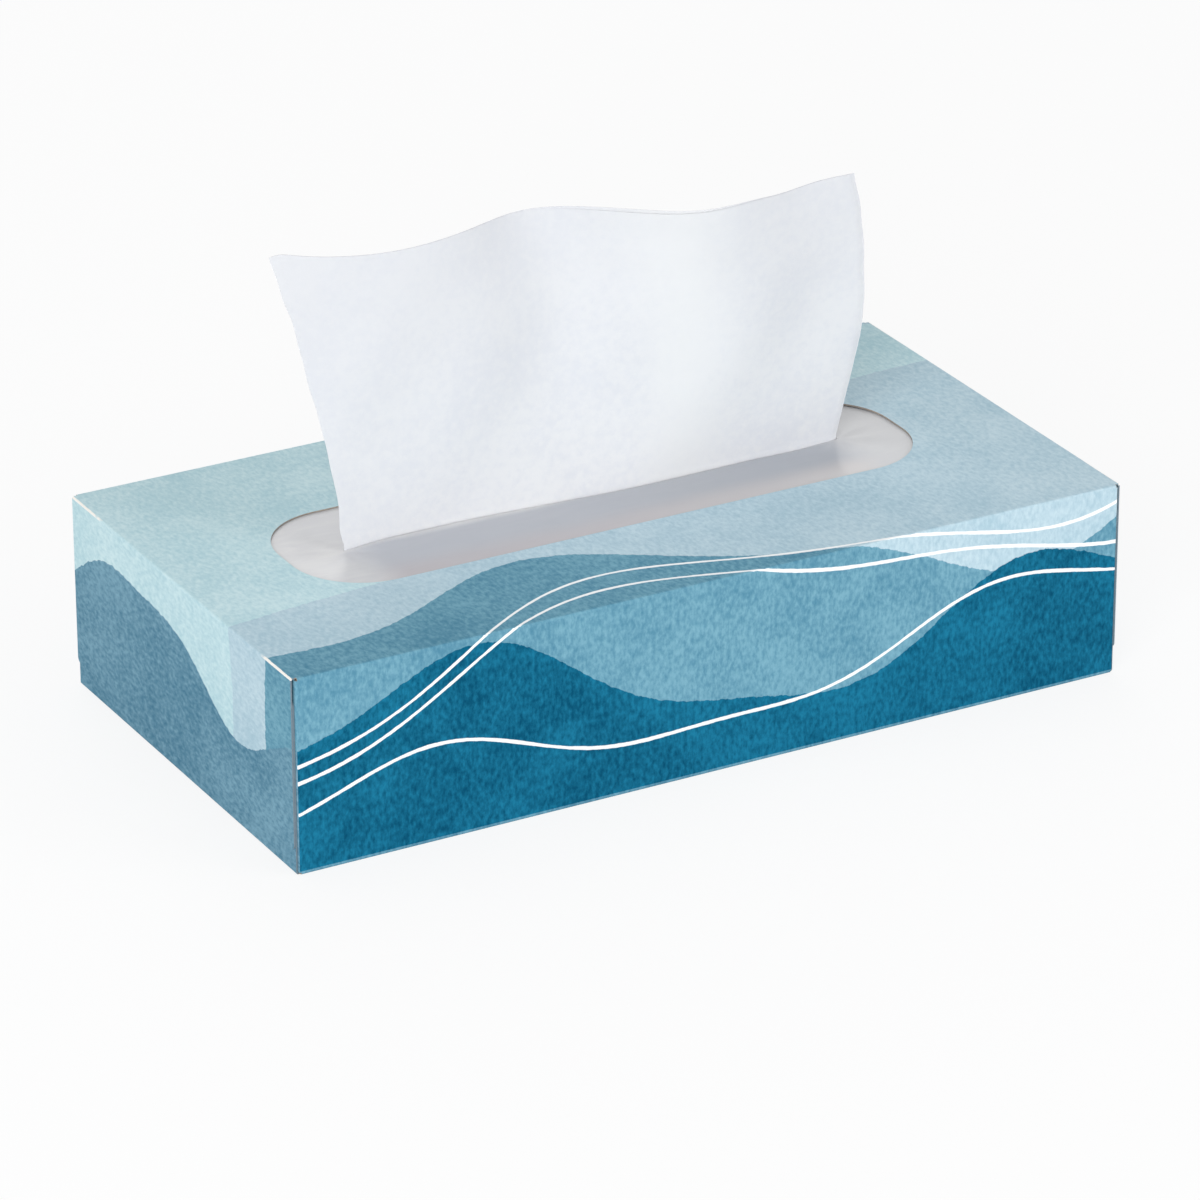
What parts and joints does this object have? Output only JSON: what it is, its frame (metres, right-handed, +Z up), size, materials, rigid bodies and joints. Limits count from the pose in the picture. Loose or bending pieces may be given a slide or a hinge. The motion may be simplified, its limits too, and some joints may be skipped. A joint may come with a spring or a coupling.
{
  "type": "tissue box",
  "caption": "Flat printed paperboard carton of interfolded paper tissues, opened at the top, with one tissue drawn up through the slit film.",
  "frame": {"origin": "middle of the bottom panel's outer face, on the surface that the carton stands on", "axes": "+X along the carton, +Y from the front panel to the back panel, +Z up"},
  "size_m": [0.232, 0.1226, 0.1268],
  "materials": {
    "printed_board": "matte",
    "film": "satin",
    "tissue_paper": "matte",
    "glue": "satin"
  },
  "bodies": {
    "root": {"carton": "printed_board", "seam_glue": "glue", "end_glue_left": "glue", "end_glue_right": "glue", "film_window": "film", "film_glue": "glue", "tissue_pile": "tissue_paper", "drawn_tissue": "tissue_paper"}
  },
  "joints": []
}
